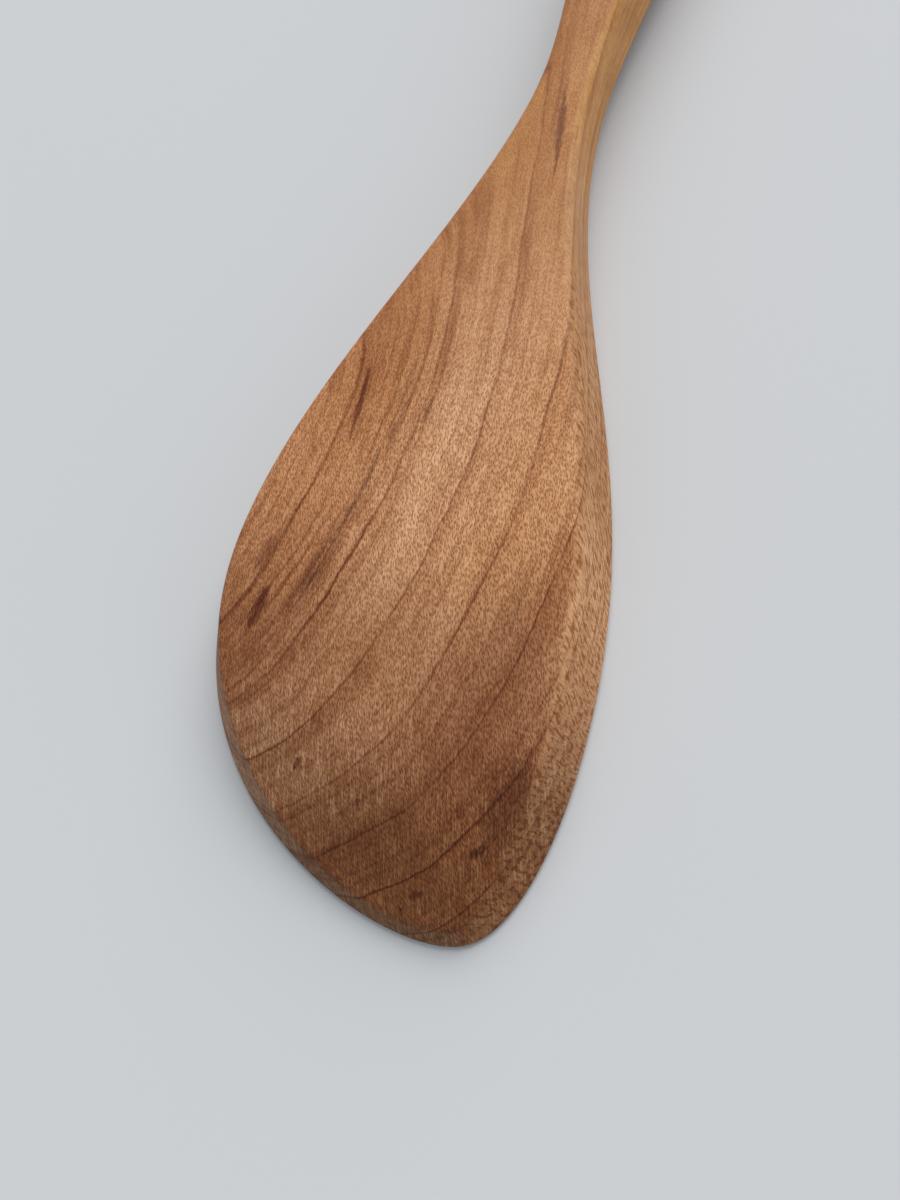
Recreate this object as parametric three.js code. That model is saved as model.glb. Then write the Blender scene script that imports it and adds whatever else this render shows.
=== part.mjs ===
// Wooden offset spoon, carved from one piece of hardwood and lying face down on the lip of its bowl.
// Millimetres. Seen from above its back, +Y runs from the toe to the butt, +X is to the right and +Z is up.
import * as THREE from 'three';

// Plan sizes: widths are measured from the handle axis, and lengths from the toe tip or from the part before.
const TOE_TIP_OFFSET = 26.4;
const TOE_TIP_HEADING = 37.5;
const RIGHT_SIDE = 34.2;
const RIGHT_SIDE_FROM_TOE = 28;
const LEFT_SIDE = 35;
const LEFT_SIDE_FROM_TOE = 49;
const NECK_WIDTH = 10.6;
const NECK_FROM_TOE = 146;
const GRIP_WIDTH = 23.5;
const GRIP_FROM_NECK = 65;
const BUTT_FROM_GRIP = 105;

// Side view: how thick the wood is, and how far the arched handle rises from the plane of the lip.
const TOE_THICKNESS = 5.3;
const TOE_ROLL_THICKNESS = 11.2;
const TOE_ROLL_FROM_TOE = 28;
const BOWL_THICKNESS = 12.6;
const BOWL_CENTRE_FROM_TOE = 58;
const LIP_END_FROM_TOE = 110;
const NECK_THICKNESS = 12.6;
const NECK_RISE = 2;
const GRIP_THICKNESS = 13;
const GRIP_RISE = 4.5;
const BUTT_THICKNESS = 12;
const BUTT_RISE = 0.2;

// The hollow on the face: a flat lip round it, a floor of even thickness and a run-out towards the neck. Its
// fullness is 2 for a round bottom, and more for steeper sides and a flatter bottom.
const LIP_WIDTH = 2.8;
const FLOOR_THICKNESS = 4.8;
const DISH_END_FROM_TOE = 114;
const DISH_RUN_OUT = 60;
const DISH_FULLNESS = 3;

// Cross-section at each anchor of the outline: slope of the wall in degrees, roundings of the edges between
// wall and back and between wall and face, and how far the crowned back falls from its middle to its edge.
const TOE_SECTION = { wallAngle: 47.5, backRound: 1.2, faceRound: 1.2, crown: 2.4 };
const RIGHT_SECTION = { wallAngle: 66, backRound: 1.6, faceRound: 1.2, crown: 2.4 };
const LEFT_SECTION = { wallAngle: 61, backRound: 1, faceRound: 1.2, crown: 2.4 };
const NECK_SECTION = { wallAngle: 88, backRound: 2.5, faceRound: 3.5, crown: 0.2 };
const GRIP_SECTION = { wallAngle: 84, backRound: 3.5, faceRound: 5, crown: 0.5 };
const BUTT_SECTION = { wallAngle: 78, backRound: 4, faceRound: 5, crown: 0.5 };

// How far the two handles of each outline curve reach, as shares of the straight way between its anchors.
const TOE_TO_RIGHT = [0.31, 0.22];
const RIGHT_TO_NECK = [0.425, 0.351];
const TOE_TO_LEFT = [0.161, 0.584];
const LEFT_TO_NECK = [0.339, 0.29];
const NECK_TO_GRIP = [0.25, 0.32];
const GRIP_TO_BUTT = [0.74, 0.118];

// Mesh: steps along each side from toe to neck and from neck to butt, closer together near the toe and the
// butt, and steps from edge to edge of a section.
const BOWL_STEPS = 32;
const HANDLE_STEPS = 30;
const CROWDING_SHARE = 0.55;
const TOE_FAN_STEPS = 12;
const BUTT_FAN_STEPS = 5;
const EASE_STEPS = 16;
const ROUND_STEPS = 4;
const DISH_STEPS = 6;
const BACK_STEPS = 5;
const DEEPEST_SHARE = 0.85;
const WALL_SHARE = 0.45;
const ARRIS_PASS_COUNT = 12;

const grip_from_toe = NECK_FROM_TOE + GRIP_FROM_NECK;
const butt_from_toe = grip_from_toe + BUTT_FROM_GRIP;

// Heights of the middle of the back and of the plane of the face, as [distance from the toe, height].
const BACK_PROFILE = [
  [0, TOE_THICKNESS],
  [TOE_ROLL_FROM_TOE, TOE_ROLL_THICKNESS],
  [BOWL_CENTRE_FROM_TOE, BOWL_THICKNESS],
  [NECK_FROM_TOE, NECK_RISE + NECK_THICKNESS],
  [grip_from_toe, GRIP_RISE + GRIP_THICKNESS],
  [butt_from_toe, BUTT_RISE + BUTT_THICKNESS],
];
const FACE_PROFILE = [
  [0, 0],
  [LIP_END_FROM_TOE, 0],
  [NECK_FROM_TOE, NECK_RISE],
  [grip_from_toe, GRIP_RISE],
  [butt_from_toe, BUTT_RISE],
];

const mix = THREE.MathUtils.lerp;
const ease = (t) => THREE.MathUtils.smoothstep(t, 0, 1);
const radians = THREE.MathUtils.degToRad;

// Slope of a profile at a knot: flat at a peak or a level stretch, so that the curve never overshoots.
function knotSlope(knots, i) {
  const rise = (a, b) => (b[1] - a[1]) / (b[0] - a[0]);
  if (i === 0) return rise(knots[0], knots[1]);
  if (i === knots.length - 1) return rise(knots[i - 1], knots[i]);
  const before = rise(knots[i - 1], knots[i]);
  const after = rise(knots[i], knots[i + 1]);
  return before * after <= 0 ? 0 : (2 * before * after) / (before + after);
}

// Height of a smooth profile through its knots, level beyond both ends.
function heightAt(knots, distance) {
  const first = knots[0];
  const last = knots[knots.length - 1];
  const y = THREE.MathUtils.clamp(distance, first[0], last[0]);
  const i = Math.min(knots.findLastIndex((knot) => knot[0] <= y), knots.length - 2);
  const [from, to] = [knots[i], knots[i + 1]];
  const span = to[0] - from[0];
  const t = (y - from[0]) / span;
  const arc = span * t * (1 - t) * ((1 - t) * knotSlope(knots, i) - t * knotSlope(knots, i + 1));
  return mix(from[1], to[1], ease(t)) + arc;
}

// Height of the back at a distance from the toe; inward is 0 at its edge and 1 on the midline.
function backHeight(y, inward, crown) {
  return heightAt(BACK_PROFILE, y) - crown * (1 - inward) ** 2;
}

// Height of the face: the hollow of the bowl, which runs out into the flat front of the handle.
function faceHeight(y, inward) {
  const inBowl = 1 - THREE.MathUtils.smoothstep(y, DISH_END_FROM_TOE - DISH_RUN_OUT, DISH_END_FROM_TOE);
  const depth = inBowl * Math.max(0, heightAt(BACK_PROFILE, y) - FLOOR_THICKNESS);
  return heightAt(FACE_PROFILE, y) + depth * (1 - (1 - inward) ** DISH_FULLNESS);
}

function anchor(x, y, heading, section) {
  const angle = radians(heading);
  const along = new THREE.Vector2(Math.cos(angle), Math.sin(angle));
  return { at: new THREE.Vector2(x, y), along, section };
}

// Anchors of one side, from the toe tip to the butt. side is 1 on the right and -1 on the left.
function sideAnchors(side, widest, widestFromToe, widestSection) {
  const tipHeading = side > 0 ? TOE_TIP_HEADING : TOE_TIP_HEADING - 180;
  return [
    anchor(TOE_TIP_OFFSET, 0, tipHeading, TOE_SECTION),
    anchor(side * widest, widestFromToe, 90, widestSection),
    anchor((side * NECK_WIDTH) / 2, NECK_FROM_TOE, 90, NECK_SECTION),
    anchor((side * GRIP_WIDTH) / 2, grip_from_toe, 90, GRIP_SECTION),
    anchor(0, butt_from_toe, side > 0 ? 180 : 0, BUTT_SECTION),
  ];
}

function mixSections(from, to, share) {
  const names = Object.keys(from);
  return Object.fromEntries(names.map((name) => [name, mix(from[name], to[name], share)]));
}

// The four curves of one side.
function sidePath(anchors, pulls) {
  const path = new THREE.CurvePath();
  pulls.forEach(([leavePull, arrivePull], i) => {
    const [from, to] = [anchors[i], anchors[i + 1]];
    const span = from.at.distanceTo(to.at);
    const leave = from.at.clone().addScaledVector(from.along, span * leavePull);
    const arrive = to.at.clone().addScaledVector(to.along, -span * arrivePull);
    path.add(new THREE.CubicBezierCurve(from.at, leave, arrive, to.at));
  });
  return path;
}

// Distances along a side at which it is sampled, from the toe to the neck and on to the butt.
function sideStations(neckDistance, buttDistance) {
  const crowded = (share) => mix(share, share * share, CROWDING_SHARE);
  const distances = [];
  for (let step = 0; step <= BOWL_STEPS; step += 1) {
    distances.push(neckDistance * crowded(step / BOWL_STEPS));
  }
  for (let step = HANDLE_STEPS - 1; step >= 0; step -= 1) {
    distances.push(mix(buttDistance, neckDistance, crowded(step / HANDLE_STEPS)));
  }
  return distances;
}

// Points along one side with the inward normal and the section at each.
function sidePoints(side, anchors, pulls) {
  const path = sidePath(anchors, pulls);
  const ends = path.getCurveLengths();
  const neckDistance = ends[anchors.findIndex((each) => each.section === NECK_SECTION) - 1];
  return sideStations(neckDistance, path.getLength()).map((distance) => {
    const i = ends.findIndex((end) => distance <= end);
    const start = i > 0 ? ends[i - 1] : 0;
    const along = (distance - start) / (ends[i] - start);
    const tangent = path.curves[i].getTangentAt(along);
    return {
      at: path.curves[i].getPointAt(along),
      inwards: new THREE.Vector2(-side * tangent.y, side * tangent.x),
      section: mixSections(anchors[i].section, anchors[i + 1].section, ease(along)),
    };
  });
}

// Points of a rounding from one leg of a corner to the other, with both ends.
function roundCorner(start, corner, end) {
  return new THREE.QuadraticBezierCurve3(start, corner, end).getPoints(ROUND_STEPS);
}

// One section of the spoon at a point of its outline, from near the midline of the face, out over the lip,
// up the wall and in again to near the midline of the back.
function sectionPoints({ at, inwards, section }, middle) {
  const deepest = at.distanceTo(middle) * DEEPEST_SHARE;
  const planAt = (inset) => at.clone().addScaledVector(inwards, inset);
  const raise = (plan, z) => new THREE.Vector3(plan.x, plan.y, z);
  const towardsMiddle = (plan, share) => plan.clone().lerp(middle, share);
  const wall = radians(section.wallAngle);
  const foot = heightAt(FACE_PROFILE, at.y);

  let inset = 0;
  for (let pass = 0; pass < ARRIS_PASS_COUNT; pass += 1) {
    const reach = (backHeight(planAt(inset).y, 0, section.crown) - foot) / Math.tan(wall);
    inset = Math.min((inset + reach) / 2, deepest);
  }
  const arris = raise(planAt(inset), backHeight(planAt(inset).y, 0, section.crown));
  const wallLength = (arris.z - foot) / Math.sin(wall);
  const faceRound = Math.min(section.faceRound, wallLength * WALL_SHARE, deepest);
  const backRound = Math.min(section.backRound, wallLength * WALL_SHARE, Math.max(0, deepest - inset));
  const upWall = (length) => raise(planAt(length * Math.cos(wall)), foot + length * Math.sin(wall));

  const lipEdge = planAt(Math.min(faceRound + LIP_WIDTH, deepest));
  const dish = [];
  for (let step = 1; step <= DISH_STEPS; step += 1) {
    const share = 1 - step / DISH_STEPS;
    const plan = towardsMiddle(lipEdge, share);
    dish.push(raise(plan, faceHeight(plan.y, share)));
  }
  const lip = planAt(faceRound);
  const rim = roundCorner(raise(lip, heightAt(FACE_PROFILE, lip.y)), raise(at, foot), upWall(faceRound));

  const backEdge = planAt(inset + backRound);
  const onBack = (plan, share) => raise(plan, backHeight(plan.y, share, section.crown));
  const edge = roundCorner(upWall(wallLength - backRound), arris, onBack(backEdge, 0));
  const back = [];
  for (let step = 1; step < BACK_STEPS; step += 1) {
    const share = step / BACK_STEPS;
    back.push(onBack(towardsMiddle(backEdge, share), share));
  }
  return [...dish, ...rim, ...edge, ...back];
}

// Midway between the sides. The sections fan out from its first point at the toe and its last at the butt, and
// it leaves each of them slowly, so that the fans run smoothly into the rest.
function midlinePoints(right, left) {
  const midway = right.map((point, i) => point.at.clone().add(left[i].at).multiplyScalar(0.5));
  const line = midway.slice(TOE_FAN_STEPS, midway.length - BUTT_FAN_STEPS);
  const last = line.length - 1;
  return line.map((at, i) => {
    const fromToe = line[0].clone().lerp(at, ease(i / EASE_STEPS));
    return line[last].clone().lerp(fromToe, ease((last - i) / EASE_STEPS));
  });
}

// Closed skin over the ring of sections, joined to one row of midline points on the face and one on the back.
function skin(sections, faceMiddle, backMiddle, middleOf) {
  const count = sections.length;
  const across = sections[0].length;
  const points = [...sections.flat(), ...faceMiddle, ...backMiddle];
  const index = [];
  const faceStart = count * across;
  const backStart = faceStart + faceMiddle.length;
  const strip = (low, lowNext, high, highNext) => {
    if (low !== lowNext) index.push(low, lowNext, highNext);
    if (high !== highNext) index.push(low, highNext, high);
  };
  for (let k = 0; k < count; k += 1) {
    const next = (k + 1) % count;
    const [row, rowNext] = [k * across, next * across];
    const [mid, midNext] = [middleOf(k), middleOf(next)];
    strip(faceStart + mid, faceStart + midNext, row, rowNext);
    for (let i = 0; i < across - 1; i += 1) strip(row + i, rowNext + i, row + i + 1, rowNext + i + 1);
    strip(row + across - 1, rowNext + across - 1, backStart + mid, backStart + midNext);
  }
  const geometry = new THREE.BufferGeometry().setFromPoints(points);
  geometry.setIndex(index);
  return geometry;
}

function spoonGeometry() {
  const handlePulls = [NECK_TO_GRIP, GRIP_TO_BUTT];
  const rightAnchors = sideAnchors(1, RIGHT_SIDE, RIGHT_SIDE_FROM_TOE, RIGHT_SECTION);
  const leftAnchors = sideAnchors(-1, LEFT_SIDE, LEFT_SIDE_FROM_TOE, LEFT_SECTION);
  const right = sidePoints(1, rightAnchors, [TOE_TO_RIGHT, RIGHT_TO_NECK, ...handlePulls]);
  const left = sidePoints(-1, leftAnchors, [TOE_TO_LEFT, LEFT_TO_NECK, ...handlePulls]);

  const stations = right.length;
  const midline = midlinePoints(right, left);
  const outline = [...right, ...left.slice(1, -1).reverse()];
  const stationOf = (k) => (k < stations ? k : outline.length - k);
  const middleOf = (k) => THREE.MathUtils.clamp(stationOf(k) - TOE_FAN_STEPS, 0, midline.length - 1);
  const sections = outline.map((point, k) => sectionPoints(point, midline[middleOf(k)]));
  const faceMiddle = midline.map((at) => new THREE.Vector3(at.x, at.y, faceHeight(at.y, 1)));
  const backMiddle = midline.map((at) => new THREE.Vector3(at.x, at.y, backHeight(at.y, 1, 0)));
  return skin(sections, faceMiddle, backMiddle, middleOf);
}

// The origin lies under the middle of the spoon, on the surface that its lip rests on.
function centreOnGround(geometry) {
  geometry.computeBoundingBox();
  const { min, max } = geometry.boundingBox;
  geometry.translate(-(min.x + max.x) / 2, -(min.y + max.y) / 2, -min.z);
  geometry.computeVertexNormals();
  return geometry;
}

const cherry = new THREE.MeshStandardMaterial({ color: 0xaf7e5a, roughness: 0.5, metalness: 0 });
const spoon = new THREE.Mesh(centreOnGround(spoonGeometry()), cherry);
spoon.name = 'spoon';

const group = new THREE.Group();
group.add(spoon);
export default group;
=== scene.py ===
"""Looks of the wooden offset spoon: its smooth carved skin, oiled hardwood, floor, light and camera.

The sizes of the carving are in millimetres and repeat the part's own. Blender's objects are in metres.
"""
import math

import bpy
import numpy as np
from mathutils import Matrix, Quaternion, Vector


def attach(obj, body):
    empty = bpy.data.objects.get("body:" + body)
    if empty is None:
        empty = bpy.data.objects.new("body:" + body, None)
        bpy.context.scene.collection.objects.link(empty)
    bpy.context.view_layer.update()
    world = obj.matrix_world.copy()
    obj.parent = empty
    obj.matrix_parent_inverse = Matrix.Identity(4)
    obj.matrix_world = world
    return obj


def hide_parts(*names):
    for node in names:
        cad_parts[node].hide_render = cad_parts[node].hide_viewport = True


MM = 0.001

# Plan sizes: the sides and the toe tip are measured from the handle axis, the neck and grip from edge to
# edge, and lengths from the toe tip or from the part before.
TOE_TIP_OFFSET = 26.4
TOE_TIP_HEADING = 37.5
RIGHT_SIDE = 34.2
RIGHT_SIDE_FROM_TOE = 28
LEFT_SIDE = 35
LEFT_SIDE_FROM_TOE = 49
NECK_WIDTH = 10.6
NECK_FROM_TOE = 146
GRIP_WIDTH = 23.5
GRIP_FROM_NECK = 65
BUTT_FROM_GRIP = 105

# Side view: how thick the wood is, and how far the arched handle rises from the plane of the lip.
TOE_THICKNESS = 5.3
TOE_ROLL_THICKNESS = 11.2
TOE_ROLL_FROM_TOE = 28
BOWL_THICKNESS = 12.6
BOWL_CENTRE_FROM_TOE = 58
LIP_END_FROM_TOE = 110
NECK_THICKNESS = 12.6
NECK_RISE = 2
GRIP_THICKNESS = 13
GRIP_RISE = 4.5
BUTT_THICKNESS = 12
BUTT_RISE = 0.2

# The hollow on the face: a flat lip round it, a floor of even thickness and a run-out towards the neck.
LIP_WIDTH = 2.8
FLOOR_THICKNESS = 4.8
DISH_END_FROM_TOE = 114
DISH_RUN_OUT = 60
DISH_FULLNESS = 3

# Cross-section at each anchor of the outline: slope of the wall in degrees, roundings of the edges between
# wall and back and between wall and face, and how far the crowned back falls from its middle to its edge.
TOE_SECTION = (47.5, 1.2, 1.2, 2.4)
RIGHT_SECTION = (66, 1.6, 1.2, 2.4)
LEFT_SECTION = (61, 1, 1.2, 2.4)
NECK_SECTION = (88, 2.5, 3.5, 0.2)
GRIP_SECTION = (84, 3.5, 5, 0.5)
BUTT_SECTION = (78, 4, 5, 0.5)

# How far the two handles of each outline curve reach, as shares of the straight way between its anchors.
TOE_TO_RIGHT = (0.31, 0.22)
RIGHT_TO_NECK = (0.425, 0.351)
TOE_TO_LEFT = (0.161, 0.584)
LEFT_TO_NECK = (0.339, 0.29)
NECK_TO_GRIP = (0.25, 0.32)
GRIP_TO_BUTT = (0.74, 0.118)

# Mesh: steps along each side from toe to neck and from neck to butt, closer together near the toe and the
# butt, and steps from edge to edge of a section.
FINER = 6
BOWL_STEPS = 32 * FINER
HANDLE_STEPS = 30 * FINER
TOE_FAN_STEPS = 12 * FINER
BUTT_FAN_STEPS = 5 * FINER
EASE_STEPS = 16 * FINER
CROWDING_SHARE = 0.55
CURVE_SAMPLES = 2000
ROUND_STEPS = 12
DISH_STEPS = 36
BACK_STEPS = 40

# Limits of a section: how far in from the edge it may turn, as a share of the way to the midline, how much
# of the wall a rounding may take, and how many passes find the place where the wall meets the back.
DEEPEST_SHARE = 0.85
WALL_SHARE = 0.45
ARRIS_PASSES = 12

GRIP_FROM_TOE = NECK_FROM_TOE + GRIP_FROM_NECK
BUTT_FROM_TOE = GRIP_FROM_TOE + BUTT_FROM_GRIP

# Heights of the middle of the back and of the plane of the face, as distance from the toe and height.
BACK_PROFILE = np.array([
    (0, TOE_THICKNESS),
    (TOE_ROLL_FROM_TOE, TOE_ROLL_THICKNESS),
    (BOWL_CENTRE_FROM_TOE, BOWL_THICKNESS),
    (NECK_FROM_TOE, NECK_RISE + NECK_THICKNESS),
    (GRIP_FROM_TOE, GRIP_RISE + GRIP_THICKNESS),
    (BUTT_FROM_TOE, BUTT_RISE + BUTT_THICKNESS),
], float)
FACE_PROFILE = np.array([
    (0, 0),
    (LIP_END_FROM_TOE, 0),
    (NECK_FROM_TOE, NECK_RISE),
    (GRIP_FROM_TOE, GRIP_RISE),
    (BUTT_FROM_TOE, BUTT_RISE),
], float)

# Growth rings, as a ring number that grows across and down through the board. The bowl is cut where the
# rings sweep round, so they bow along it and run straight in the handle. Lengths are in millimetres.
RINGS_ACROSS = 0.087
RINGS_UP = -0.18
RING_AT_ORIGIN = 3.67
SWEEP_RINGS = 2.0
SWEEP_CENTRE = -90
SWEEP_LENGTH = 80

# Waves of the rings: their lengths in the three directions, and how far they move a ring, in rings.
RING_WAVES = (
    ((18, 40, 18), 0.32),
    ((3, 7, 3), 0.07),
    ((0.5, 1.4, 0.5), 0.05),
)

# The fibres run along the handle and lean over in the bowl, from this place on, eased over this length, by
# this slope.
LEAN_START = -85
LEAN_EASE = 30
FIBRE_LEAN = 0.3

# Wood colours: the two woods are linear colours, and every tint multiplies what lies under it.
PALE_WOOD = (0.528, 0.268, 0.135)
RAY_WOOD = (0.70, 0.435, 0.242)
RED_TINT = (0.86, 0.76, 0.66)
# Partly golden wood, partly painted shade that darkens the neck and handle.
GOLDEN_WOOD_AND_SHADE_TINT = (0.82, 0.70, 0.465)
# Partly duller wood, partly painted shade on the walls of the upper bowl.
DULL_WOOD_AND_SHADE_TINT = (0.69, 0.61, 0.51)
# Partly darker wood, partly painted shade where the toe turns away from the light.
TOE_WOOD_AND_SHADE_TINT = (0.51, 0.405, 0.325)
OLD_TINT = (0.66, 0.55, 0.46)
CLOUD_TINT = (0.82, 0.72, 0.62)
LATE_TINT = (0.78, 0.66, 0.55)
STREAK_TINT = (0.62, 0.48, 0.36)
LINE_TINT = (0.48, 0.32, 0.23)
MINERAL_TINT = (0.46, 0.41, 0.40)
FLECK_TINT = (0.51, 0.32, 0.20)
FLAKE_TINT = (0.58, 0.41, 0.27)
# Painted glints: paler, bluer spots between the ray ends.
PAINTED_GLINT_TINT = (1.40, 1.62, 1.85)
FIBRE_TINT = (0.74, 0.63, 0.54)
GUM_TINT = (0.30, 0.14, 0.08)
# Painted sheen: end grain that faces the toe is made paler and bluer, as a reflection of the pale room.
TOE_FACING_SHEEN_TINT = (1.06, 1.40, 1.80)
SCRATCH_TINT = (1.35, 1.58, 1.80)

# Ring numbers between which a look comes or goes, and shares of a ring, counted from its dark line.
YOUNG_RINGS = (0.5, 1.4)
STREAKY_RINGS = (0.6, 1.8)
GOLDEN_RINGS = (1.9, 2.9)
OLD_RINGS = (2.6, 4.2)
OUTER_RINGS = (3.9, 4.6)
LATE_WOOD = (0.0, 0.4)
LINE_EDGE = (0.006, 0.036)

# Places along the spoon between which a look comes or goes, in millimetres from its middle, toe below zero.
GOLDEN_ALONG = (-80, -26)
GOLDEN_LEFT_ALONG = (-100, -75)
GOLDEN_RIGHT_ALONG = (-118, -104)
HANDLE_ALONG = (-45, -20)
DULL_ALONG = (-108, -84)
TOE_ALONG = (-128, -96)
TOE_END_ALONG = (-150, -138)
TOE_WALL_ALONG = (-142, -110)
OLD_ALONG = (-118, -84)
OUTER_ALONG = (-134, -122)
CLOUD_ALONG = (-138, -100)
LINE_ALONG = (-85, -40)
FLECK_ALONG = (-95, -40)
FLAKE_ALONG = (-70, -40)
SLANT_ALONG = (-140, -100)
SANDED_ALONG = (-140, -116)

# How strong a look is, as a share. A pair gives it at the low and at the high end of a range.
GOLDEN_SIDES = 0.45
TOE_SHARE = 0.82
TOE_END_SHARE = 0.18
OUTER_SHARE = 0.7
OLD_ON_WALLS = 0.65
RAY_WOOD_SHARES = (0.1, 0.85)
CLOUD_SHARES = (0.85, 0.6)
LATE_SHARE = 0.45
STREAK_SHARES = (1.0, 0.6)
LINE_SHARES = (0.4, 1.0)
LINES_IN_HANDLE = 0.45
LINES_ON_WALLS = 0.6
FLECK_SHARES = (0.55, 1.0)
FLECKS_IN_HANDLE = 0.4
FLECKS_ON_WALLS = 0.2
FLAKES_IN_HANDLE = 0.3
FIBRE_SHARE = 0.5

# Patterns: how long their features are in the three directions, in millimetres, or in rings and millimetres
# for those that follow the rings, and the values of the pattern between which a look comes or goes. Some
# also say how scattered, slanted or ragged they are.
CLOUD_LENGTHS = (3, 9, 4)
CLOUD_CUT = (0.42, 0.70)
STREAK_LENGTHS = ((0.20, 60, 1), (0.07, 30, 1))
STREAK_CUT = (0.46, 0.75)
LINE_LENGTHS = (0.7, 22, 1)
LINE_CUT = (0.3, 0.65)
MINERAL_LENGTHS = (0.09, 9, 1)
MINERAL_CUT = (0.38, 0.64)
FLECK_LENGTHS = (0.19, 0.68, 1.2)
FLECK_SCATTER = 0.9
FLECK_CUT = (0.12, 0.46)
PAINTED_GLINT_CUT = (0.42, 0.70)
FLAKE_LENGTHS = (0.7, 1.3, 0.8)
FLAKE_CUT = (0.48, 0.60)
FLAKE_SLANT = 1.2
FIBRE_LENGTHS = (0.20, 2.4, 0.20)
FIBRE_CUT = (0.48, 0.66)
GUM_LENGTHS = (0.4, 1.8, 0.4)
GUM_RAGGEDNESS = 1.6
GUM_CUT = (0.25, 1.05)
SCRATCH_LENGTHS = (0.22, 6, 1)
SCRATCH_CUT = (0.50, 0.60)
OIL_LENGTHS = (0.35, 14, 0.35)
OIL_CUT = (0.2, 0.8)

# Directions, and how squarely a surface faces across the rays, or towards the toe, as the look of open
# rays, or a painted bluish sheen on the end grain that faces the toe, comes in.
SCRATCHES_ACROSS = (0.972, 0.233, 0)
SCRATCHES_ALONG = (-0.233, 0.972, 0)
TOWARDS_TOE = (0, -1, 0)
RAYS_OPEN = (0.58, 0.86)
TOE_FACING_SHEEN_OPEN = (0.58, 0.76)

# The whole range of a share.
NONE_TO_ALL = (0.0, 1.0)

# Oiled finish: roughness of the shiniest and the dullest fibres, shine, and relief, its height in metres.
ROUGHNESS = (0.48, 0.62)
SHINE = 0.18
RELIEF_STRENGTH = 0.4
RELIEF_HEIGHT = 0.0001

# Mineral stains: ring number in the middle, half width in rings, both ends along the spoon in millimetres,
# and how dark the stain is. Each fades out over a length at both ends.
MINERAL_STAINS = (
    (0.67, 0.17, -136, -68, 1.0),
    (3.65, 0.17, -122, -100, 0.6),
)
MINERAL_FADE = 14

# Gum marks in the wood, in millimetres: two ends, half width, and how dark the mark is. The last is broad
# and lies just over the back, so that it darkens the right edge of the toe and hardly the wall below.
GUM_MARKS = (
    ((0.9, -16.0, 14.4), (4.8, -36.8, 13.6), 0.95, 0.75),
    ((-19.3, -114.5, 10.7), (-21.2, -124.0, 9.7), 1.7, 0.9),
    ((-16.2, -72.5, 12.2), (-14.4, -91.0, 12.2), 0.8, 0.8),
    ((-21.3, -105.0, 10.8), (-23.8, -114.5, 10.1), 1.8, 0.6),
    ((-2.5, -77.5, 13.0), (-3.0, -86.0, 12.9), 0.8, 0.4),
    ((-4.6, -138.8, 8.5), (-5.9, -141.6, 7.6), 0.8, 0.85),
    ((4.4, -143.8, 7.6), (6.9, -142.2, 8.3), 0.8, 0.5),
    ((23.2, -145.7, 6.3), (26.8, -142.2, 6.5), 1.0, 0.8),
    ((16.2, -153.3, 4.0), (19.2, -151.4, 4.6), 0.8, 0.85),
    ((15.3, -154.2, 3.4), (16.5, -155.9, 2.9), 0.5, 0.6),
    ((24.4, -148.6, 5.0), (25.6, -146.8, 5.4), 0.6, 0.5),
    ((28.8, -125.0, 11.0), (26.6, -149.5, 6.8), 4.0, 0.65),
)

# Floor and room light: linear colours with their opacity, and sizes in metres.
FLOOR_SIZE = 20
FLOOR_DROP = 0.0002
FLOOR_COLOUR = (0.580, 0.600, 0.628, 1)
FLOOR_ROUGHNESS = 0.9
ROOM_COLOUR = (0.93, 0.97, 1.0, 1)
ROOM_STRENGTH = 0.46

# Camera: places in metres, its roll in degrees and its lens in millimetres.
CAMERA_AT = (0.0612, -0.1444, 0.1387)
CAMERA_AIM = (0.0063, -0.1079, 0)
CAMERA_ROLL = -40.0
CAMERA_LENS = 28.5
CAMERA_NEAR = 0.01


def ease(share):
    """Smooth step from 0 to 1."""
    share = np.clip(share, 0, 1)
    return share * share * (3 - 2 * share)


def mix(start, end, share):
    return start + (end - start) * share


def knot_slopes(knots):
    """Slopes of a profile at its knots: flat at a peak or a level stretch, so that it never overshoots."""
    rises = np.diff(knots[:, 1]) / np.diff(knots[:, 0])
    before, after = rises[:-1], rises[1:]
    turning = before * after <= 0
    inner = np.where(turning, 0, 2 * before * after / np.where(turning, 1, before + after))
    return np.concatenate([rises[:1], inner, rises[-1:]])


def height_at(knots, distance):
    """Height of a smooth profile through its knots, level beyond both ends."""
    slopes = knot_slopes(knots)
    y = np.clip(distance, knots[0, 0], knots[-1, 0])
    i = np.clip(np.searchsorted(knots[:, 0], y, side="right") - 1, 0, len(knots) - 2)
    span = knots[i + 1, 0] - knots[i, 0]
    t = (y - knots[i, 0]) / span
    arc = span * t * (1 - t) * ((1 - t) * slopes[i] - t * slopes[i + 1])
    return mix(knots[i, 1], knots[i + 1, 1], ease(t)) + arc


def back_height(y, inward, crown):
    """Height of the back at a distance from the toe; inward is 0 at its edge and 1 on the midline."""
    return height_at(BACK_PROFILE, y) - crown * (1 - inward) ** 2


def face_height(y, inward):
    """Height of the face: the hollow of the bowl, which runs out into the flat front of the handle."""
    in_bowl = 1 - ease((y - DISH_END_FROM_TOE + DISH_RUN_OUT) / DISH_RUN_OUT)
    depth = in_bowl * np.maximum(0, height_at(BACK_PROFILE, y) - FLOOR_THICKNESS)
    return height_at(FACE_PROFILE, y) + depth * (1 - (1 - inward) ** DISH_FULLNESS)


def side_anchors(side, widest, widest_from_toe, widest_section):
    """Place, heading in degrees and section at each anchor of a side: 1 is the right, -1 the left."""
    right = side > 0
    return [
        ((TOE_TIP_OFFSET, 0), TOE_TIP_HEADING if right else TOE_TIP_HEADING - 180, TOE_SECTION),
        ((side * widest, widest_from_toe), 90, widest_section),
        ((side * NECK_WIDTH / 2, NECK_FROM_TOE), 90, NECK_SECTION),
        ((side * GRIP_WIDTH / 2, GRIP_FROM_TOE), 90, GRIP_SECTION),
        ((0, BUTT_FROM_TOE), 180 if right else 0, BUTT_SECTION),
    ]


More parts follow.
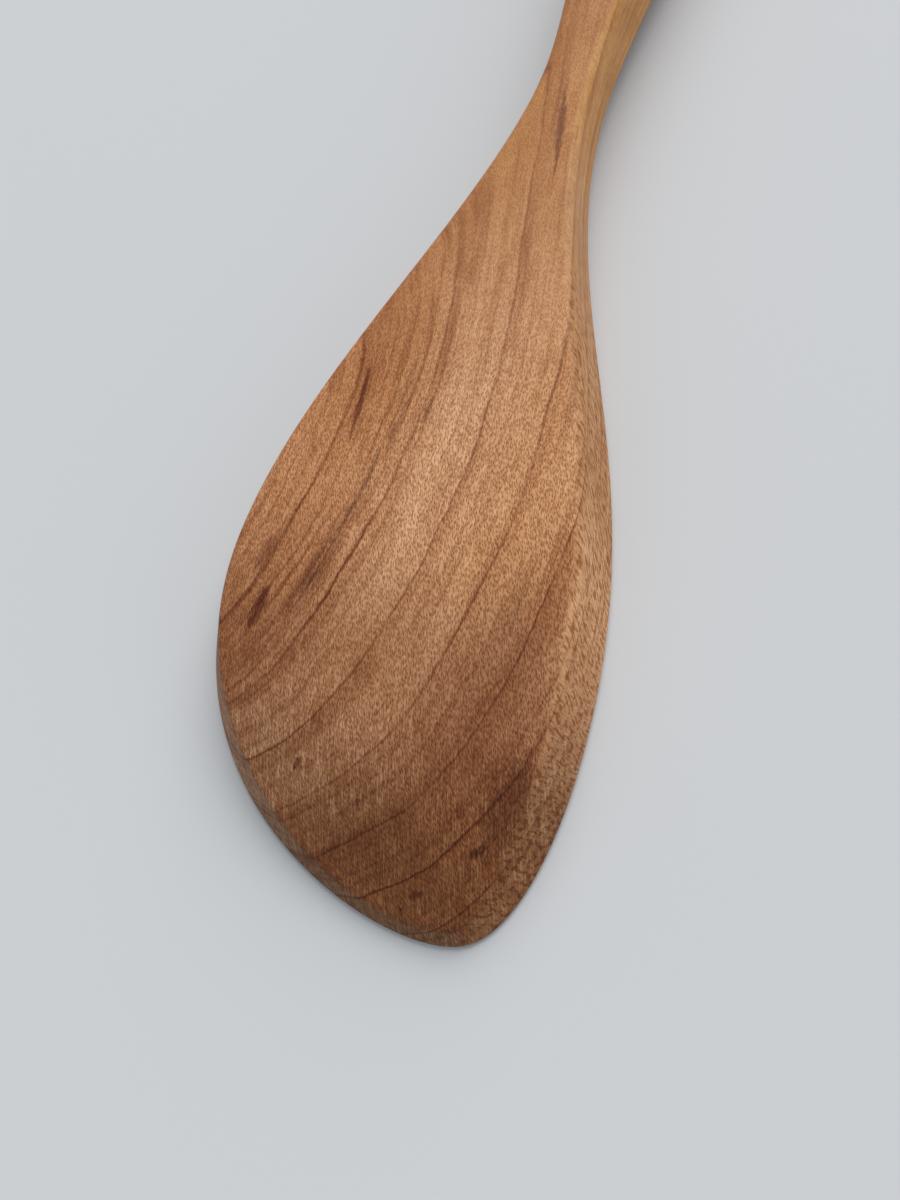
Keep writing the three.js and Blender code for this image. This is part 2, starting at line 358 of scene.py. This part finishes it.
def curve_samples(start, end, pulls):
    """Places, headings and sections along one curve of the outline, and the distance to each."""
    t = np.linspace(0, 1, CURVE_SAMPLES + 1)[:, None]
    corners = []
    for (at, heading, _), pull in ((start, pulls[0]), (end, -pulls[1])):
        span = math.dist(start[0], end[0])
        along = np.array([math.cos(math.radians(heading)), math.sin(math.radians(heading))])
        corners.append(np.array(at, float))
        corners.append(np.array(at, float) + along * span * pull)
    a, b, d, c = corners
    places = (1 - t) ** 3 * a + 3 * t * (1 - t) ** 2 * b + 3 * t * t * (1 - t) * c + t ** 3 * d
    headings = (1 - t) ** 2 * (b - a) + 2 * t * (1 - t) * (c - b) + t * t * (d - c)
    headings /= np.linalg.norm(headings, axis=1, keepdims=True)
    steps = np.linalg.norm(np.diff(places, axis=0), axis=1)
    distance = np.concatenate([[0], np.cumsum(steps)])
    share = ease(distance / distance[-1])[:, None]
    sections = mix(np.array(start[2], float), np.array(end[2], float), share)
    return np.hstack([places, headings, sections]), distance


def side_stations(neck_distance, butt_distance):
    """Distances along a side at which it is sampled, from the toe to the neck and on to the butt."""
    def crowded(share):
        return mix(share, share * share, CROWDING_SHARE)

    bowl = neck_distance * crowded(np.linspace(0, 1, BOWL_STEPS + 1))
    handle = mix(butt_distance, neck_distance, crowded(np.linspace(1, 0, HANDLE_STEPS + 1)))
    return np.concatenate([bowl, handle[1:]])


def side_points(side, anchors, pulls):
    """Places along one side, with the inward normal and the section at each."""
    values, distances, ends = [], [], [0]
    for start, end, pull in zip(anchors, anchors[1:], pulls):
        samples, distance = curve_samples(start, end, pull)
        values.append(samples[:-1])
        distances.append(ends[-1] + distance[:-1])
        ends.append(ends[-1] + distance[-1])
    values = np.vstack(values + [samples[-1:]])
    distances = np.concatenate(distances + [ends[-1:]])
    neck = [anchor[2] for anchor in anchors].index(NECK_SECTION)
    stations = side_stations(ends[neck], ends[-1])
    values = np.column_stack([np.interp(stations, distances, column) for column in values.T])
    places, headings, sections = values[:, :2], values[:, 2:4], values[:, 4:]
    inwards = side * np.column_stack([-headings[:, 1], headings[:, 0]])
    return places, inwards, sections


def midline_points(right, left):
    """Midway between the sides, leaving slowly the two points from which the sections fan out."""
    midway = (right + left) / 2
    line = midway[TOE_FAN_STEPS:len(midway) - BUTT_FAN_STEPS]
    step = np.arange(len(line))[:, None]
    from_toe = mix(line[0], line, ease(step / EASE_STEPS))
    return mix(line[-1], from_toe, ease(step[::-1] / EASE_STEPS))


def round_corner(start, corner, end):
    """Rows of a rounding from one leg of a corner to the other, with both ends."""
    shares = np.linspace(0, 1, ROUND_STEPS + 1)
    return [mix(mix(start, corner, t), mix(corner, end, t), t) for t in shares]


def section_rows(places, inwards, sections, middle):
    """Rows of points round the spoon, from near the midline of the face over lip and wall to the back."""
    wall_angle, back_round, face_round, crown = sections.T
    wall = np.radians(wall_angle)
    deepest = DEEPEST_SHARE * np.linalg.norm(places - middle, axis=1)
    foot = height_at(FACE_PROFILE, places[:, 1])

    def plan_at(inset):
        return places + inwards * inset[:, None]

    def raised(plan, z):
        return np.column_stack([plan, z])

    def on_back(plan, share):
        return raised(plan, back_height(plan[:, 1], share, crown))

    def up_wall(length):
        return raised(plan_at(length * np.cos(wall)), foot + length * np.sin(wall))

    inset = np.zeros(len(places))
    for _ in range(ARRIS_PASSES):
        reach = (back_height(plan_at(inset)[:, 1], 0, crown) - foot) / np.tan(wall)
        inset = np.minimum((inset + reach) / 2, deepest)
    arris = on_back(plan_at(inset), 0)
    wall_length = (arris[:, 2] - foot) / np.sin(wall)
    face_round = np.minimum.reduce([face_round, wall_length * WALL_SHARE, deepest])
    back_round = np.minimum.reduce([back_round, wall_length * WALL_SHARE, np.maximum(0, deepest - inset)])

    rows = []
    lip_edge = plan_at(np.minimum(face_round + LIP_WIDTH, deepest))
    for step in range(1, DISH_STEPS + 1):
        share = 1 - step / DISH_STEPS
        plan = mix(lip_edge, middle, share)
        rows.append(raised(plan, face_height(plan[:, 1], share)))
    lip = plan_at(face_round)
    flat_lip = raised(lip, height_at(FACE_PROFILE, lip[:, 1]))
    rows += round_corner(flat_lip, raised(places, foot), up_wall(face_round))
    back_edge = plan_at(inset + back_round)
    rows += round_corner(up_wall(wall_length - back_round), arris, on_back(back_edge, 0))
    for step in range(1, BACK_STEPS):
        share = step / BACK_STEPS
        rows.append(on_back(mix(back_edge, middle, share), share))
    return rows


def strip(low, low_next, high, high_next):
    """Faces between two rows of point numbers, with triangles where two neighbours are one point."""
    faces = []
    for corners in zip(low, low_next, high_next, high):
        faces.append(list(dict.fromkeys(int(corner) for corner in corners)))
    return faces


def spoon_skin():
    """Points, in metres and centred as the part is, and faces of the closed skin."""
    handle_pulls = (NECK_TO_GRIP, GRIP_TO_BUTT)
    right_anchors = side_anchors(1, RIGHT_SIDE, RIGHT_SIDE_FROM_TOE, RIGHT_SECTION)
    left_anchors = side_anchors(-1, LEFT_SIDE, LEFT_SIDE_FROM_TOE, LEFT_SECTION)
    right = side_points(1, right_anchors, (TOE_TO_RIGHT, RIGHT_TO_NECK) + handle_pulls)
    left = side_points(-1, left_anchors, (TOE_TO_LEFT, LEFT_TO_NECK) + handle_pulls)
    midline = midline_points(right[0], left[0])
    outline = [np.vstack([one, other[-2:0:-1]]) for one, other in zip(right, left)]

    count = len(outline[0])
    ring = np.arange(count)
    station = np.where(ring < len(right[0]), ring, count - ring)
    middle_of = np.clip(station - TOE_FAN_STEPS, 0, len(midline) - 1)
    rows = section_rows(*outline, midline[middle_of])
    face_middle = np.column_stack([midline, face_height(midline[:, 1], 1)])
    back_middle = np.column_stack([midline, back_height(midline[:, 1], 1, 0)])
    points = np.vstack(rows + [face_middle, back_middle])

    numbers = [row * count + ring for row in range(len(rows))]
    numbers.insert(0, len(rows) * count + middle_of)
    numbers.append(len(rows) * count + len(midline) + middle_of)
    faces = []
    for low, high in zip(numbers, numbers[1:]):
        faces += strip(low, np.roll(low, -1), high, np.roll(high, -1))
    low_corner, high_corner = points.min(axis=0), points.max(axis=0)
    centre = (low_corner + high_corner) / 2
    return (points - (centre[0], centre[1], low_corner[2])) * MM, faces


class Graph:
    """A short way to add linked nodes to a material."""

    # Places of the share, the first and the second colour among a mix node's inputs, and of its result.
    MIX_INPUTS = (0, 6, 7)
    MIX_RESULT = 2

    def __init__(self, name):
        self.material = bpy.data.materials.new(name)
        self.material.use_nodes = True
        self.tree = self.material.node_tree
        self.shader = self.tree.nodes["Principled BSDF"]

    def add(self, kind, inputs=None, **settings):
        node = self.tree.nodes.new(kind)
        for name, value in settings.items():
            setattr(node, name, value)
        for name, value in (inputs or {}).items():
            self.feed(node.inputs[name], value)
        return node

    def feed(self, socket, value):
        if isinstance(value, bpy.types.NodeSocket):
            self.tree.links.new(value, socket)
        else:
            socket.default_value = value

    def shade(self, name, value):
        """Give an input of the material's shader a pattern or a constant."""
        self.feed(self.shader.inputs[name], value)

    def math(self, operation, *values):
        return self.add("ShaderNodeMath", dict(enumerate(values)), operation=operation).outputs[0]

    def product(self, first, *others):
        for other in others:
            first = self.math("MULTIPLY", first, other)
        return first

    def rest(self, share):
        """What is left of the whole."""
        return self.math("SUBTRACT", 1.0, share)

    def vector_math(self, operation, first, second, output="Vector"):
        node = self.add("ShaderNodeVectorMath", {0: first, 1: second}, operation=operation)
        return node.outputs[output]

    def dot(self, vector, other):
        return self.vector_math("DOT_PRODUCT", vector, other, "Value")

    def times(self, vector, other):
        return self.vector_math("MULTIPLY", vector, other)

    def vector(self, x, y, z):
        return self.add("ShaderNodeCombineXYZ", {"X": x, "Y": y, "Z": z}).outputs["Vector"]

    def between(self, value, ends, low_result=0.0, high_result=1.0):
        """Smoothly from one result to another as the value goes from the low end to the high end."""
        inputs = {
            "Value": value,
            "From Min": ends[0],
            "From Max": ends[1],
            "To Min": low_result,
            "To Max": high_result,
        }
        return self.add("ShaderNodeMapRange", inputs, interpolation_type="SMOOTHSTEP").outputs["Result"]

    def in_lengths(self, place, lengths):
        """A place counted in these lengths along the three directions."""
        return self.times(place, tuple(1 / length for length in lengths))

    def noise(self, place, lengths, detail=2.0, roughness=0.5):
        """Cloudy pattern from about 0.2 to 0.8, with features of about these lengths."""
        at = self.in_lengths(place, lengths)
        inputs = {"Vector": at, "Scale": 1.0, "Detail": detail, "Roughness": roughness}
        return self.add("ShaderNodeTexNoise", inputs).outputs["Fac"]

    def waves(self, place, lengths, detail=2.0, roughness=0.5):
        """The same cloudy pattern, from about -0.3 to 0.3."""
        return self.math("SUBTRACT", self.noise(place, lengths, detail, roughness), 0.5)

    def blend(self, share, first, second, kind="MIX"):
        node = self.add("ShaderNodeMix", data_type="RGBA", blend_type=kind)
        for number, value in zip(self.MIX_INPUTS, (share, first, second)):
            colour = isinstance(value, tuple)
            self.feed(node.inputs[number], (*value, 1.0) if colour else value)
        return node.outputs[self.MIX_RESULT]

    def tinted(self, colour, *layers):
        """A colour multiplied by the tint of each layer in turn, as far as the layer's share goes."""
        for share, tint in layers:
            colour = self.blend(share, colour, tint, "MULTIPLY")
        return colour


def ring_number(graph, place, y):
    """Number of the growth ring at a place in the board."""
    straight = graph.dot(place, (RINGS_ACROSS, 0, RINGS_UP))
    along = graph.math("DIVIDE", graph.math("SUBTRACT", y, SWEEP_CENTRE), SWEEP_LENGTH)
    fall = graph.math("EXPONENT", graph.product(along, along, -1.0))
    sweep = graph.product(graph.rest(fall), SWEEP_RINGS)
    ring = graph.math("ADD", graph.math("ADD", straight, sweep), RING_AT_ORIGIN)
    for lengths, rings in RING_WAVES:
        ring = graph.math("ADD", ring, graph.product(graph.waves(place, lengths), rings))
    return ring


def board_place(graph, place, y):
    """Place in the board, across rays, along fibres and along rays, and the direction across the rays."""
    tilt = math.atan2(RINGS_ACROSS, -RINGS_UP)
    tangential = (math.cos(tilt), 0, math.sin(tilt))
    radial = (math.sin(tilt), 0, -math.cos(tilt))
    below = graph.math("SMOOTH_MIN", graph.math("SUBTRACT", y, LEAN_START), 0.0, LEAN_EASE)
    across = graph.math("MULTIPLY_ADD", below, FIBRE_LEAN, graph.dot(place, tangential))
    return graph.vector(across, y, graph.dot(place, radial)), tangential


def back_or_wall(graph, rays_shown, back, wall):
    """One share on the back and another on the walls, which lie along the rays."""
    return graph.between(rays_shown, NONE_TO_ALL, back, wall)


def golden_wood_and_shade_share(graph, ring, young, y, rays_shown):
    """Golden tint, partly golden wood and partly painted shade, in the neck and handle, fainter at both
    sides of the bowl's back, not on its walls.
    """
    old_side = graph.between(ring, GOLDEN_RINGS)
    left = graph.product(young, graph.between(y, GOLDEN_LEFT_ALONG, 0.0, GOLDEN_SIDES))
    right = graph.product(old_side, graph.between(y, GOLDEN_RIGHT_ALONG, 0.0, GOLDEN_SIDES))
    golden = graph.between(y, GOLDEN_ALONG)
    for side in (left, right):
        golden = graph.math("MAXIMUM", golden, side)
    return graph.product(golden, back_or_wall(graph, rays_shown, 1.0, graph.between(y, HANDLE_ALONG)))


def dull_wood_and_shade_share(graph, y, rays_shown):
    """Darker, duller walls of the upper bowl: partly duller wood, partly painted shade."""
    before_handle = graph.rest(graph.between(y, HANDLE_ALONG))
    return graph.product(rays_shown, graph.between(y, DULL_ALONG), before_handle)


def toe_wood_and_shade_share(graph, y, rays_shown):
    """Darker towards the toe, partly darker wood and partly painted shade, reaching less far up the walls
    than up the back.
    """
    most = graph.between(y, TOE_ALONG, TOE_SHARE, 0.0)
    back = graph.math("ADD", most, graph.between(y, TOE_END_ALONG, TOE_END_SHARE, 0.0))
    wall = graph.between(y, TOE_WALL_ALONG, 1.0, 0.0)
    return back_or_wall(graph, rays_shown, back, wall)


def old_share(graph, ring, y, rays_shown):
    """Browner wood at the old side of the lower bowl, less on walls and in outer rings above the toe."""
    old = graph.product(graph.between(ring, OLD_RINGS), graph.between(y, OLD_ALONG, 1.0, 0.0))
    outer = graph.product(graph.between(ring, OUTER_RINGS), graph.between(y, OUTER_ALONG, 0.0, OUTER_SHARE))
    return graph.product(old, back_or_wall(graph, rays_shown, graph.rest(outer), OLD_ON_WALLS))


def cloud_share(graph, y, board):
    """Slightly darker clouds all over, strongest at the toe."""
    clouds = graph.between(graph.noise(board, CLOUD_LENGTHS, detail=3.0, roughness=0.6), CLOUD_CUT)
    return graph.product(clouds, graph.between(y, CLOUD_ALONG, *CLOUD_SHARES))


def ground_colour(graph, ring, y, board, rays_shown):
    """Pale wood, another wood where rays lie open, and the tints of the different parts of the spoon, some
    partly painted shade.
    """
    young = graph.between(ring, YOUNG_RINGS, 1.0, 0.0)
    ray_wood = graph.product(rays_shown, graph.between(ring, YOUNG_RINGS, *RAY_WOOD_SHARES))
    return graph.tinted(
        graph.blend(ray_wood, PALE_WOOD, RAY_WOOD),
        (young, RED_TINT),
        (golden_wood_and_shade_share(graph, ring, young, y, rays_shown), GOLDEN_WOOD_AND_SHADE_TINT),
        (dull_wood_and_shade_share(graph, y, rays_shown), DULL_WOOD_AND_SHADE_TINT),
        (toe_wood_and_shade_share(graph, y, rays_shown), TOE_WOOD_AND_SHADE_TINT),
        (old_share(graph, ring, y, rays_shown), OLD_TINT),
        (cloud_share(graph, y, board), CLOUD_TINT),
    )


def add_rings(graph, colour, ring, y, rays_shown):
    """Browner wood after each year's end, streaks along the rings, and the dark line that ends the year."""
    rows = graph.vector(ring, y, 0.0)
    late = graph.between(graph.math("FRACT", ring), LATE_WOOD, LATE_SHARE, 0.0)
    colour = graph.tinted(colour, (late, LATE_TINT))
    for lengths in STREAK_LENGTHS:
        streaks = graph.between(graph.noise(rows, lengths, detail=3.0, roughness=0.6), STREAK_CUT)
        streaks = graph.product(streaks, graph.between(ring, STREAKY_RINGS, *STREAK_SHARES))
        colour = graph.tinted(colour, (streaks, STREAK_TINT))
    strength = graph.product(
        graph.between(graph.noise(rows, LINE_LENGTHS), LINE_CUT, *LINE_SHARES),
        graph.between(y, LINE_ALONG, 1.0, LINES_IN_HANDLE),
        back_or_wall(graph, rays_shown, 1.0, LINES_ON_WALLS),
    )
    from_line = graph.math("SUBTRACT", graph.math("FRACT", graph.math("ADD", ring, 0.5)), 0.5)
    line = graph.between(graph.math("ABSOLUTE", from_line), LINE_EDGE, 1.0, 0.0)
    return graph.tinted(colour, (graph.product(line, strength), LINE_TINT))


def add_mineral_stains(graph, colour, ring, y):
    """Greyish stains that follow the rings for part of the bowl."""
    rows = graph.vector(ring, y, 0.0)
    ragged = graph.noise(rows, MINERAL_LENGTHS, detail=3.0, roughness=0.6)
    for centre, half_width, start, end, darkness in MINERAL_STAINS:
        off = graph.math("ABSOLUTE", graph.math("SUBTRACT", ring, centre))
        across = graph.between(off, (0.0, half_width), 1.0, 0.0)
        fade_in = graph.between(y, (start, start + MINERAL_FADE))
        fade_out = graph.between(y, (end - MINERAL_FADE, end), 1.0, 0.0)
        along = graph.product(fade_in, fade_out)
        stain = graph.product(across, along, graph.between(ragged, MINERAL_CUT, 0.0, darkness))
        colour = graph.tinted(colour, (stain, MINERAL_TINT))
    return colour


def ray_ends(graph, board):
    """Dark spindles, some darker than others, and the distance from their middles in shares of a cell."""
    at = graph.in_lengths(board, FLECK_LENGTHS)
    cells = graph.add("ShaderNodeTexVoronoi", {"Vector": at, "Scale": 1.0, "Randomness": FLECK_SCATTER})
    off = cells.outputs["Distance"]
    chance = graph.dot(cells.outputs["Color"], (1, 0, 0))
    darkness = graph.between(chance, NONE_TO_ALL, *FLECK_SHARES)
    return graph.product(graph.between(off, FLECK_CUT, 1.0, 0.0), darkness), off


def ray_flakes(graph, board, y):
    """Ragged flakes as a wall cuts them along the rays, slanted except at the toe."""
    depth = graph.dot(board, (0, 0, 1))
    slant = graph.between(y, SLANT_ALONG, 0.0, FLAKE_SLANT)
    slanted = graph.vector(graph.math("MULTIPLY_ADD", depth, slant, y), depth, 0.0)
    return graph.between(graph.noise(slanted, FLAKE_LENGTHS, detail=2.0, roughness=0.6), FLAKE_CUT)


def add_ray_flecks(graph, colour, board, y, rays_shown):
    """Dashes where the ends of rays show, painted glints between them, flakes on the walls, and fine
    fibres.
    """
    ends, off = ray_ends(graph, board)
    in_bowl = graph.between(y, FLECK_ALONG, 1.0, FLECKS_IN_HANDLE)
    ends_shown = graph.product(back_or_wall(graph, rays_shown, 1.0, FLECKS_ON_WALLS), in_bowl)
    flakes_shown = graph.product(rays_shown, graph.between(y, FLAKE_ALONG, 1.0, FLAKES_IN_HANDLE))
    fibres = graph.between(graph.noise(board, FIBRE_LENGTHS, detail=1.0), FIBRE_CUT, 0.0, FIBRE_SHARE)
    colour = graph.tinted(
        colour,
        (graph.product(ends, ends_shown), FLECK_TINT),
        (graph.product(ray_flakes(graph, board, y), flakes_shown), FLAKE_TINT),
        # Painted glints between the ray ends.
        (graph.product(graph.between(off, PAINTED_GLINT_CUT), ends_shown), PAINTED_GLINT_TINT),
        (graph.product(fibres, in_bowl), FIBRE_TINT),
    )
    return colour, off


def add_gum_marks(graph, colour, place):
    """Dark, ragged gum marks, each widest in the middle and pointed at both ends."""
    ragged = graph.waves(place, GUM_LENGTHS, detail=3.0, roughness=0.65)
    for start, end, half_width, darkness in GUM_MARKS:
        middle = (Vector(start) + Vector(end)) / 2
        half = (Vector(end) - Vector(start)) / 2
        off = graph.vector_math("SUBTRACT", place, middle)
        along = graph.dot(off, half / half.length_squared)
        beside = graph.vector_math("DISTANCE", off, graph.times(half, along), "Value")
        reach = graph.math("MULTIPLY_ADD", along, along, graph.math("DIVIDE", beside, half_width))
        edge = graph.math("MULTIPLY_ADD", ragged, GUM_RAGGEDNESS, reach)
        mark = graph.between(edge, GUM_CUT, darkness, 0.0)
        colour = graph.tinted(colour, (mark, GUM_TINT))
    return colour


def add_sanding(graph, colour, place, y):
    """Fine light scratches left by sanding the toe."""
    across = graph.dot(place, SCRATCHES_ACROSS)
    along = graph.dot(place, SCRATCHES_ALONG)
    scratches = graph.noise(graph.vector(across, along, 0.0), SCRATCH_LENGTHS, detail=1.0)
    sanded = graph.between(y, SANDED_ALONG, 1.0, 0.0)
    amount = graph.product(graph.between(scratches, SCRATCH_CUT), sanded)
    return graph.tinted(colour, (amount, SCRATCH_TINT))


def add_finish(graph, board, flecks):
    """Oil that is duller along some fibres, over fibres and rays that can just be felt."""
    fibres = graph.noise(board, OIL_LENGTHS)
    graph.shade("Roughness", graph.between(fibres, OIL_CUT, *ROUGHNESS))
    graph.shade("Specular IOR Level", SHINE)
    height = graph.math("ADD", flecks, fibres)
    relief = {"Strength": RELIEF_STRENGTH, "Distance": RELIEF_HEIGHT, "Height": height}
    graph.shade("Normal", graph.add("ShaderNodeBump", relief).outputs["Normal"])


def wood_material():
    """Oiled cherry-like wood, with its rings, rays and gum marks running all through the board."""
    graph = Graph("wood")
    coordinates = graph.add("ShaderNodeTexCoord")
    normal = coordinates.outputs["Normal"]
    place = graph.times(coordinates.outputs["Object"], (1 / MM, 1 / MM, 1 / MM))
    y = graph.dot(place, (0, 1, 0))
    board, across_rays = board_place(graph, place, y)
    facing = graph.math("ABSOLUTE", graph.dot(normal, across_rays))
    rays_shown = graph.between(facing, RAYS_OPEN)
    ring = ring_number(graph, place, y)

    colour = ground_colour(graph, ring, y, board, rays_shown)
    colour = add_rings(graph, colour, ring, y, rays_shown)
    colour = add_mineral_stains(graph, colour, ring, y)
    colour, flecks = add_ray_flecks(graph, colour, board, y, rays_shown)
    colour = add_gum_marks(graph, colour, place)
    # Painted sheen: paler and bluer where the surface faces the toe.
    toe_facing_sheen = graph.between(graph.dot(normal, TOWARDS_TOE), TOE_FACING_SHEEN_OPEN)
    colour = graph.tinted(colour, (toe_facing_sheen, TOE_FACING_SHEEN_TINT))
    graph.shade("Base Color", add_sanding(graph, colour, place, y))
    add_finish(graph, board, flecks)
    return graph.material


def add_mesh(name, points, faces, material):
    mesh = bpy.data.meshes.new(name)
    mesh.from_pydata([tuple(point) for point in points], [], faces)
    mesh.materials.append(material)
    mesh.shade_smooth()
    piece = bpy.data.objects.new(name, mesh)
    bpy.context.collection.objects.link(piece)
    return piece


def add_spoon():
    points, faces = spoon_skin()
    spoon = add_mesh("carved_spoon", points, faces, wood_material())
    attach(spoon, "root")
    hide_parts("spoon")


def add_floor():
    graph = Graph("pale floor")
    graph.shade("Base Color", FLOOR_COLOUR)
    graph.shade("Roughness", FLOOR_ROUGHNESS)
    half = FLOOR_SIZE / 2
    corners = [(-half, -half), (half, -half), (half, half), (-half, half)]
    points = [(x, y, -FLOOR_DROP) for x, y in corners]
    add_mesh("floor", points, [(0, 1, 2, 3)], graph.material)


def add_lamp(name, towards, breadth, strength, colour):
    """A broad, distant light that lies in this direction and is as wide as this angle in degrees."""
    lamp = bpy.data.lights.new(name, "SUN")
    lamp.angle = math.radians(breadth)
    lamp.energy = strength
    lamp.color = colour
    holder = bpy.data.objects.new(name, lamp)
    holder.rotation_euler = Vector(towards).to_track_quat("Z", "Y").to_euler()
    bpy.context.collection.objects.link(holder)


def add_light():
    world = bpy.data.worlds.new("room")
    bpy.context.scene.world = world
    world.use_nodes = True
    background = world.node_tree.nodes["Background"]
    background.inputs["Color"].default_value = ROOM_COLOUR
    background.inputs["Strength"].default_value = ROOM_STRENGTH
    add_lamp("window", towards=(0.02, 0.80, 0.52), breadth=50, strength=3.2, colour=(1.0, 0.97, 0.93))
    add_lamp("fill", towards=(1.0, 0.10, 0.26), breadth=40, strength=0.52, colour=(1.0, 0.98, 0.95))


def add_camera():
    """Close above the toe, turned so that the handle runs up and out of the frame."""
    data = bpy.data.cameras.new("camera")
    data.lens = CAMERA_LENS
    data.clip_start = CAMERA_NEAR
    camera = bpy.data.objects.new("camera", data)
    camera.location = CAMERA_AT
    look = (Vector(CAMERA_AIM) - Vector(CAMERA_AT)).to_track_quat("-Z", "Y")
    roll = Quaternion((0, 0, 1), math.radians(CAMERA_ROLL))
    camera.rotation_euler = (look @ roll).to_euler()
    bpy.context.collection.objects.link(camera)
    bpy.context.scene.camera = camera


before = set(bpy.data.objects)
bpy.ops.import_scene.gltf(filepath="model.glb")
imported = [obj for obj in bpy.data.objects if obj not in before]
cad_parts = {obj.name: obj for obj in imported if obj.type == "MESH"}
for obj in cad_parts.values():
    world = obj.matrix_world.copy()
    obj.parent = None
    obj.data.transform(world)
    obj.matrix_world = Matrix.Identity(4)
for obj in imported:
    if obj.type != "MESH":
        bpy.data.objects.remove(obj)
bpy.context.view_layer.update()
bpy.context.scene.view_settings.view_transform = "Standard"
add_spoon()
add_floor()
add_light()
add_camera()
